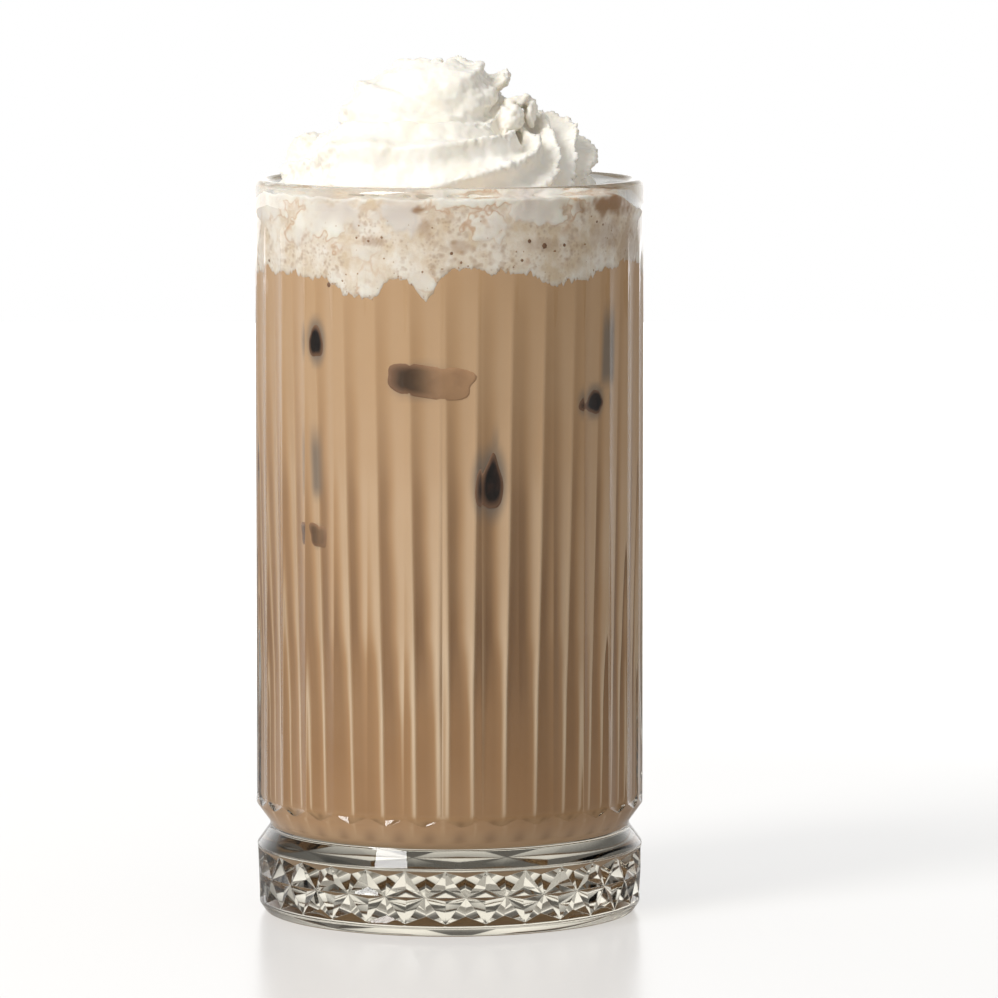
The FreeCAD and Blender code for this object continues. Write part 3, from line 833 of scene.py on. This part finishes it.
def make_froth(material):
    """The froth from its wandering lower edge up the wall and in over the top, under the cream."""
    columns, belts_up = 720, 34
    angles = [360.0 * k / columns for k in range(columns)]
    points, patches, stains = [], [], []

    def put(radius, degrees, z):
        place = polar(radius, degrees, z)
        ragged = 0.5 * noise.noise(place / MM * 0.35) + 0.3 * noise.noise(place / MM * 0.9)
        points.append(place)
        patches.append(max(patch_value(CREAM_PATCHES, degrees, z, ragged),
                           0.8 * ease(z + 4.0 * ragged, 144.8, 146.6)))
        stains.append(max(patch_value(STAINS, degrees, z, ragged),
                          0.25 * (1 - ease(z - froth_edge(degrees), 0.0, 1.1))))

    for j in range(belts_up + 1):
        share = j / belts_up
        for degrees in angles:
            low, high = froth_edge(degrees), froth_top(degrees)
            z = low + (high - low) * share
            put(side_radius(degrees, z) + (FROTH_PROUD if j else -FROTH_PROUD), degrees, z)
    inward_steps = (0.6, 1.6, 3.2, 5.5, 9.0, 14.0, 22.0)
    for inward in inward_steps:
        for degrees in angles:
            high = froth_top(degrees)
            radius = cavity_radius(high) - inward
            z = FOAM_TOP + (high - FOAM_TOP) * (1 - ease(inward, 2.0, 20.0))
            place = polar(radius, degrees, z) / MM
            put(radius, degrees, z + 0.45 * noise.noise(place * 0.5) * ease(inward, 0.2, 3.0))
            # on top the cream has spread in patches that have nothing to do with the wall
            spread = 0.5 + 1.3 * noise.noise(place * 0.16) + 0.5 * noise.noise(place * 0.5)
            on_top = ease(inward, 0.3, 3.0)
            patches[-1] += (min(max(spread, 0.0), 1.0) - patches[-1]) * on_top
            stains[-1] *= 1 - 0.7 * on_top
    put(0, 0, FOAM_LOW)
    put(0, 0, FOAM_TOP)
    faces = filling_faces(belts_up + 1 + len(inward_steps), columns)
    froth = mesh_object("milk_froth", points, faces, [material])
    add_values(froth.data, "cream_patch", patches)
    add_values(froth.data, "drink_stain", stains)
    set_smooth(froth.data)
    return froth


# Large bubbles at the front: angle, height, radius in mm
LARGE_BUBBLES = ((25.2, 138.4, 0.9), (30.5, 137.4, 1.25), (37.6, 137.4, 0.8), (22.6, 134.6, 0.7),
                 (0.6, 136.2, 0.75), (3.6, 134.4, 0.6), (51.0, 141.7, 0.65), (54.0, 141.0, 0.6),
                 (50.2, 132.0, 0.5),
                 (-39.6, 129.4, 0.95), (-72.5, 133.2, 0.8), (-8.3, 132.5, 0.55), (-35.4, 130.3, 0.5),
                 (-21.0, 139.2, 0.6), (-29.5, 139.0, 0.55), (-25.5, 138.4, 0.6), (34.0, 136.2, 0.5))
SMALL_BUBBLES = 220
SMALL_RADII = (0.16, 0.2, 0.24, 0.3, 0.42)
BUBBLE_SUNK = 0.86            # share of its radius that a bubble's middle lies inside the froth


def bubble_tree(material):
    """Geometry nodes that put a small ball on each point, of the point's own size."""
    tree = bpy.data.node_groups.new("bubbles_on_points", "GeometryNodeTree")
    tree.interface.new_socket("Points", in_out="INPUT", socket_type="NodeSocketGeometry")
    tree.interface.new_socket("Roundness", in_out="INPUT", socket_type="NodeSocketInt")
    tree.interface.new_socket("Bubbles", in_out="OUTPUT", socket_type="NodeSocketGeometry")
    inside = add(tree, "NodeGroupInput")
    ball = add(tree, "GeometryNodeMeshIcoSphere", {"Radius": 1.0,
                                                   "Subdivisions": inside.outputs["Roundness"]})
    size = add(tree, "GeometryNodeInputNamedAttribute", {"Name": "size"}, data_type="FLOAT")
    copies = add(tree, "GeometryNodeInstanceOnPoints", {
        "Points": inside.outputs["Points"], "Instance": ball.outputs["Mesh"],
        "Scale": size.outputs["Attribute"]})
    real = add(tree, "GeometryNodeRealizeInstances", {0: copies.outputs[0]})
    smooth = add(tree, "GeometryNodeSetShadeSmooth", {"Geometry": real.outputs[0]})
    finish = add(tree, "GeometryNodeSetMaterial", {"Geometry": smooth.outputs[0], "Material": material})
    add(tree, "NodeGroupOutput", {0: finish.outputs[0]})
    return tree


def make_bubbles(material):
    """Bubbles of the froth against the wall, most of them near its lower edge."""
    chance = random.Random(7)
    places = list(LARGE_BUBBLES)
    for _ in range(SMALL_BUBBLES):
        degrees = chance.uniform(-180, 180)
        low = froth_edge(degrees)
        z = low + 0.4 + (froth_top(degrees) - low - 3) * chance.random() ** 2.2
        places.append((degrees, z, chance.choice(SMALL_RADII)))
    points = [polar(side_radius(degrees, z) + FROTH_PROUD - radius * BUBBLE_SUNK, degrees, z)
              for degrees, z, radius in places]
    bubbles = mesh_object("froth_bubbles", points, [])
    add_values(bubbles.data, "size", [radius * MM for _, _, radius in places])
    return made_by_nodes(bubbles, bubble_tree(material), {"Roundness": 2})


# ------------------------------------------------------------------ whipped cream
# The rope from its start to its torn end: angle it has reached, path radius, height of its middle,
# half thickness, depth of the grooves as a share of it, and how far its ridges have turned about it
ROPE_STATIONS = ((-115, 25.0, 147.5, 5.5, 0.25, -36), (-88, 25.0, 147.6, 8.0, 0.22, -36),
                 (-66, 23.0, 148.2, 8.6, 0.2, -36), (-52, 20.4, 149.5, 12.0, 0.16, -36),
                 (-20, 18.6, 149.5, 12.3, 0.16, -36), (0, 18.6, 149.5, 12.2, 0.2, -38),
                 (20, 19.3, 149.0, 11.9, 0.26, -54), (37, 20.2, 148.5, 11.4, 0.32, -72),
                 (64, 19.6, 148.8, 10.6, 0.36, -120), (82, 19.4, 149.8, 10.6, 0.36, -150),
                 (100, 21.0, 150.4, 12.0, 0.34, -178), (125, 20.0, 150.8, 12.0, 0.3, -210),
                 (155, 16.8, 152.5, 11.0, 0.3, -250), (190, 13.2, 156.0, 10.0, 0.3, -285),
                 (225, 11.0, 159.0, 9.3, 0.24, -310), (270, 10.8, 161.2, 9.2, 0.14, -330),
                 (315, 11.4, 158.8, 8.8, 0.1, -350), (360, 11.6, 155.6, 8.4, 0.1, -370),
                 (405, 9.4, 156.6, 7.6, 0.2, -400), (450, 7.4, 160.6, 7.2, 0.28, -430),
                 (540, 6.0, 164.2, 7.2, 0.28, -490), (630, 5.0, 166.2, 7.4, 0.14, -540),
                 (720, 5.8, 164.2, 9.0, 0.06, -580), (770, 5.0, 165.8, 8.4, 0.16, -610),
                 (830, 1.6, 169.4, 4.6, 0.3, -650))
TEETH = 9
CREAM_SHIFT = -2.0            # the swirl's middle is off the glass's axis, to the left
HEART_LOW_R, HEART_TOP_R = 22, 3      # a cone of cream fills the swirl's eye, from the froth up
PEAK_ABOVE_HEART = 8
FLAT_BELOW = 0.2              # the cream's flat underside lies this far inside the froth
SKIN_VOXEL = 0.42
# Scraps that were torn where the nozzle was pulled away, at the peak and at the left, and one that
# fills the eye: place, half sizes, tilt in degrees about X and Y
SCRAPS = (((8.6, -2.0, 168.0), (4.2, 3.6, 1.3), 20, -36), ((10.8, -1.0, 169.0), (1.2, 3.0, 2.4), 0, 20),
          ((13.2, -3.5, 164.0), (4.0, 3.8, 1.2), -15, -26), ((16.4, -3.0, 162.4), (1.1, 3.0, 3.2), 0, 0),
          ((12.0, -7.0, 161.0), (2.6, 3.0, 3.2), 0, 20),
          ((1.4, -1.0, 171.6), (2.7, 3.2, 1.8), 14, -6), ((3.4, 0.5, 170.4), (2.6, 3.0, 2.4), 0, -30),
          ((-4.2, -0.2, 168.3), (3.8, 3.2, 2.7), 0, 0),
          ((-19.0, -2.0, 160.8), (3.0, 3.2, 2.8), 0, 30), ((-15.0, 0.0, 166.4), (3.2, 3.2, 2.4), 0, 26),
          ((-28.0, 0.0, 153.4), (4.6, 5.0, 4.6), 0, 10), ((-24.0, -4.0, 155.0), (3.4, 4.0, 3.4), 0, 18),
          ((-31.5, -3.0, 150.5), (2.6, 3.0, 2.4), 0, 0))


def along(stations, place):
    """Values at a place, smoothly between the stations (Catmull-Rom)."""
    places = [row[0] for row in stations]
    i = max(k for k in range(len(places)) if places[k] <= place + 1e-9)
    i = min(i, len(stations) - 2)
    before, here = stations[max(i - 1, 0)], stations[i]
    after, beyond = stations[i + 1], stations[min(i + 2, len(stations) - 1)]
    t = (place - here[0]) / (after[0] - here[0])
    values = []
    for a, b, c, d in zip(before[1:], here[1:], after[1:], beyond[1:]):
        values.append(0.5 * (2 * b + (c - a) * t + (2 * a - 5 * b + 4 * c - d) * t * t
                             + (3 * b - a - 3 * c + d) * t ** 3))
    return values


def rope_middle(angle):
    """Middle of the rope, in millimetres, where its path has reached an angle."""
    radius, height = along(ROPE_STATIONS, angle)[:2]
    return polar(radius, angle, height) / MM + Vector((CREAM_SHIFT, 0, 0))


def swept_rope():
    """Points and faces of the toothed rope, with how near each point is to a tooth's crest."""
    steps, around = 330, 96
    first, last = ROPE_STATIONS[0][0], ROPE_STATIONS[-1][0]
    points, crest = [], []
    for i in range(steps + 1):
        angle = first + (last - first) * i / steps
        _, _, thick, tooth_depth, ridge_turn = along(ROPE_STATIONS, angle)
        centre = rope_middle(angle)
        ahead = (rope_middle(min(angle + 3, last)) - rope_middle(max(angle - 3, first))).normalized()
        outward = ahead.cross(Vector((0, 0, 1))).normalized()
        upward = outward.cross(ahead)
        for k in range(around):
            phi = 2 * math.pi * k / around
            phase = TEETH * (phi + math.radians(ridge_turn)) / 2
            groove = math.sqrt(math.sin(phase) ** 2 + 0.01) - 0.1
            wobble = 1 + 0.06 * noise.noise(centre * 0.12 + Vector((math.cos(phi), math.sin(phi), 0)) * 0.8)
            reach = thick * (1 - tooth_depth * groove) * wobble
            out, up = reach * math.cos(phi), reach * math.sin(phi)
            points.append((centre + outward * out + upward * up) * MM)
            crest.append((1 - groove) * min(1.0, tooth_depth / 0.3))
    return points, crest, tube_faces(steps + 1, around)


def ruffle(mesh, points, crest):
    """Tear the crests of the rope's teeth, soften the rest, and stand it all flat on the froth."""
    tree = kdtree.KDTree(len(points))
    for i, p in enumerate(points):
        tree.insert(p, i)
    tree.balance()
    floor = (FOAM_TOP - FLAT_BELOW) * MM
    normals = [v.normal.copy() for v in mesh.vertices]
    for v, normal in zip(mesh.vertices, normals):
        _, i, away = tree.find(v.co)
        p = v.co / MM
        on_crest = max(0.0, crest[i] - 0.5) / 0.5 if away < 1.5 * MM else 0.0
        torn = 0.6 * noise.noise(p * 0.8) + 0.5 * noise.noise(p * 1.9 + Vector((7, 0, 0)))
        soft = 0.6 * noise.noise(p * 0.22) + 0.22 * noise.noise(p * 0.6)
        upper = ease(p.z, 158.0, 170.0)
        torn_side = max(ease(p.x, 4.0, 9.0) * ease(p.z, 158.0, 162.0), 1 - ease(p.x, -24.0, -19.0))
        rough = (0.2 * upper + 0.6 * torn_side) * noise.noise(p * 0.95 + Vector((0, 9, 0)))
        v.co += normal * (on_crest * torn * (1.2 + 0.3 * upper) + soft + rough) * MM
        v.co.z = max(v.co.z, floor)


def make_cream(material):
    """The swirl as one skin: the toothed rope, a heart that fills its eye, and torn scraps."""
    points, crest, faces = swept_rope()
    cream = mesh_object("cream_swirl", points, faces, [material])
    mass = bmesh.new()
    heart_top = CREAM_TOP - PEAK_ABOVE_HEART
    middle = Vector((CREAM_SHIFT, 0, (heart_top + FOAM_TOP) / 2)) * MM
    bmesh.ops.create_cone(mass, cap_ends=True, segments=48, radius1=HEART_LOW_R * MM,
                          radius2=HEART_TOP_R * MM, depth=(heart_top - FOAM_TOP) * MM,
                          matrix=Matrix.Translation(middle))
    for place, half_sizes, tilt_x, tilt_y in SCRAPS:
        turned = Matrix.Rotation(math.radians(tilt_y), 4, "Y") @ Matrix.Rotation(math.radians(tilt_x), 4, "X")
        scaled = Matrix.Diagonal((*[size * MM for size in half_sizes], 1.0))
        bmesh.ops.create_icosphere(mass, subdivisions=3, radius=1.0,
                                   matrix=Matrix.Translation(Vector(place) * MM) @ turned @ scaled)
    mass.from_mesh(cream.data)
    mass.to_mesh(cream.data)
    mass.free()
    remesh = cream.modifiers.new("one_skin", "REMESH")
    remesh.mode = "VOXEL"
    remesh.voxel_size = SKIN_VOXEL * MM
    baked(cream)
    ruffle(cream.data, points, crest)
    set_smooth(cream.data)
    return cream


# ------------------------------------------------------------------ stage, light and camera, in metres
def make_stage():
    """White table: it keeps the object's shadow, and brightens to white with distance."""
    material, tree, output = new_material("white_table")
    body = add(tree, "ShaderNodeBsdfPrincipled", {
        "Base Color": linear("#B2B0AD"), "Roughness": 0.25, "Specular IOR Level": 0.18})
    # a little glow for what the glass shows of the table, and for what the table bounces back
    path = add(tree, "ShaderNodeLightPath")
    seen = add(tree, "ShaderNodeMath", {0: path.outputs["Is Glossy Ray"],
                                        1: path.outputs["Is Transmission Ray"]}, operation="MAXIMUM")
    bounced = add(tree, "ShaderNodeMath", {0: path.outputs["Is Diffuse Ray"], 1: 0.22},
                  operation="MULTIPLY")
    through = add(tree, "ShaderNodeMath", {0: seen.outputs[0], 1: 0.08, 2: bounced.outputs[0]},
                  operation="MULTIPLY_ADD")
    place = add(tree, "ShaderNodeTexCoord").outputs["Object"]
    distance = add(tree, "ShaderNodeVectorMath", {0: place}, operation="LENGTH")
    far = add(tree, "ShaderNodeMapRange", {"Value": distance.outputs["Value"], "From Min": 0.2,
                                           "From Max": 0.65, "To Min": 0.37, "To Max": 0.92},
              interpolation_type="SMOOTHSTEP")
    lift = add(tree, "ShaderNodeMath", {0: path.outputs["Is Camera Ray"], 1: far.outputs[0],
                                        2: through.outputs[0]}, operation="MULTIPLY_ADD")
    glow = add(tree, "ShaderNodeEmission", {"Color": (1, 1, 1, 1), "Strength": lift.outputs[0]})
    total = add(tree, "ShaderNodeAddShader", {0: body.outputs[0], 1: glow.outputs[0]})
    tree.links.new(total.outputs[0], output.inputs["Surface"])
    reach, below = 1.6, 0.05 * MM
    corners = [(-reach, -reach, -below), (reach, -reach, -below), (reach, reach, -below),
               (-reach, reach, -below)]
    mesh_object("floor", corners, [(0, 1, 2, 3)], [material])


def make_world():
    """White wherever the camera looks. What glass shows is a room that is pale behind and at the left,
    and dark in front and above. The object is lit evenly."""
    world = bpy.data.worlds.new("studio")
    bpy.context.scene.world = world
    world.use_nodes = True
    tree = world.node_tree
    tree.nodes.clear()
    path = add(tree, "ShaderNodeLightPath")
    place = add(tree, "ShaderNodeTexCoord")
    axes = add(tree, "ShaderNodeSeparateXYZ", {0: place.outputs["Generated"]})
    facing = add(tree, "ShaderNodeMath", {0: axes.outputs["X"], 1: -0.3, 2: axes.outputs["Y"]},
                 operation="MULTIPLY_ADD")
    behind = add(tree, "ShaderNodeMapRange", {"Value": facing.outputs[0], "From Min": 0.15,
                                              "From Max": 0.75, "To Min": 0.05, "To Max": 1.6})
    low = add(tree, "ShaderNodeMapRange", {"Value": axes.outputs["Z"], "From Min": 0.12, "From Max": 0.34,
                                           "To Min": 1.0, "To Max": 0.12})
    shown = add(tree, "ShaderNodeMath", {0: behind.outputs[0], 1: low.outputs[0]}, operation="MULTIPLY")
    by_glass = add(tree, "ShaderNodeMath", {0: path.outputs["Is Glossy Ray"],
                                            1: path.outputs["Is Transmission Ray"]}, operation="MAXIMUM")
    strength = add(tree, "ShaderNodeMix", {"Factor": by_glass.outputs[0], "A": 0.57, "B": shown.outputs[0]})
    room = add(tree, "ShaderNodeBackground", {"Color": (1, 1, 1, 1), "Strength": strength.outputs[0]})
    white = add(tree, "ShaderNodeBackground", {"Color": (1, 1, 1, 1), "Strength": 1.0})
    mixed = add(tree, "ShaderNodeMixShader", {0: path.outputs["Is Camera Ray"], 1: room.outputs[0],
                                              2: white.outputs[0]})
    add(tree, "ShaderNodeOutputWorld", {0: mixed.outputs[0]})


def make_softbox():
    """One softbox at the upper left, aimed at the middle of the glass."""
    azimuth, elevation, distance = math.radians(-47), math.radians(38), 1.5
    middle = Vector((0, 0, 0.09))
    towards = Vector((math.cos(elevation) * math.sin(azimuth), -math.cos(elevation) * math.cos(azimuth),
                      math.sin(elevation)))
    light = bpy.data.lights.new("softbox", "AREA")
    light.shape = "RECTANGLE"
    light.size, light.size_y = 0.42, 1.0
    light.energy = 17.2
    lamp = bpy.data.objects.new("softbox", light)
    bpy.context.scene.collection.objects.link(lamp)
    lamp.location = middle + towards * distance
    lamp.rotation_euler = (-towards).to_track_quat("-Z", "Y").to_euler()


def make_camera():
    """A long lens some way off, that looks down a little."""
    down, turned = 5.742, -0.413
    camera = bpy.data.cameras.new("camera")
    camera.lens = 249.17
    camera.sensor_width = 36.0
    camera.clip_end = 50.0
    holder = bpy.data.objects.new("camera", camera)
    bpy.context.scene.collection.objects.link(holder)
    holder.location = (0.0, -1.3955, 0.2241)
    holder.rotation_euler = (math.radians(90 - down), 0.0, math.radians(turned))
    bpy.context.scene.camera = holder


# ------------------------------------------------------------------ the whole
put_in(make_glass(soda_lime_glass()), "glass")
put_in(make_drink(milk_chocolate_drink()), "drink")
put_in(make_ice(cloudy_ice()), None)
put_in(make_froth(milk_froth()), "foam")
put_in(make_bubbles(froth_bubble()), None)
put_in(make_cream(whipped_cream()), "whipped_cream")
make_stage()
make_world()
make_softbox()
make_camera()

bpy.context.scene.view_settings.view_transform = "Standard"
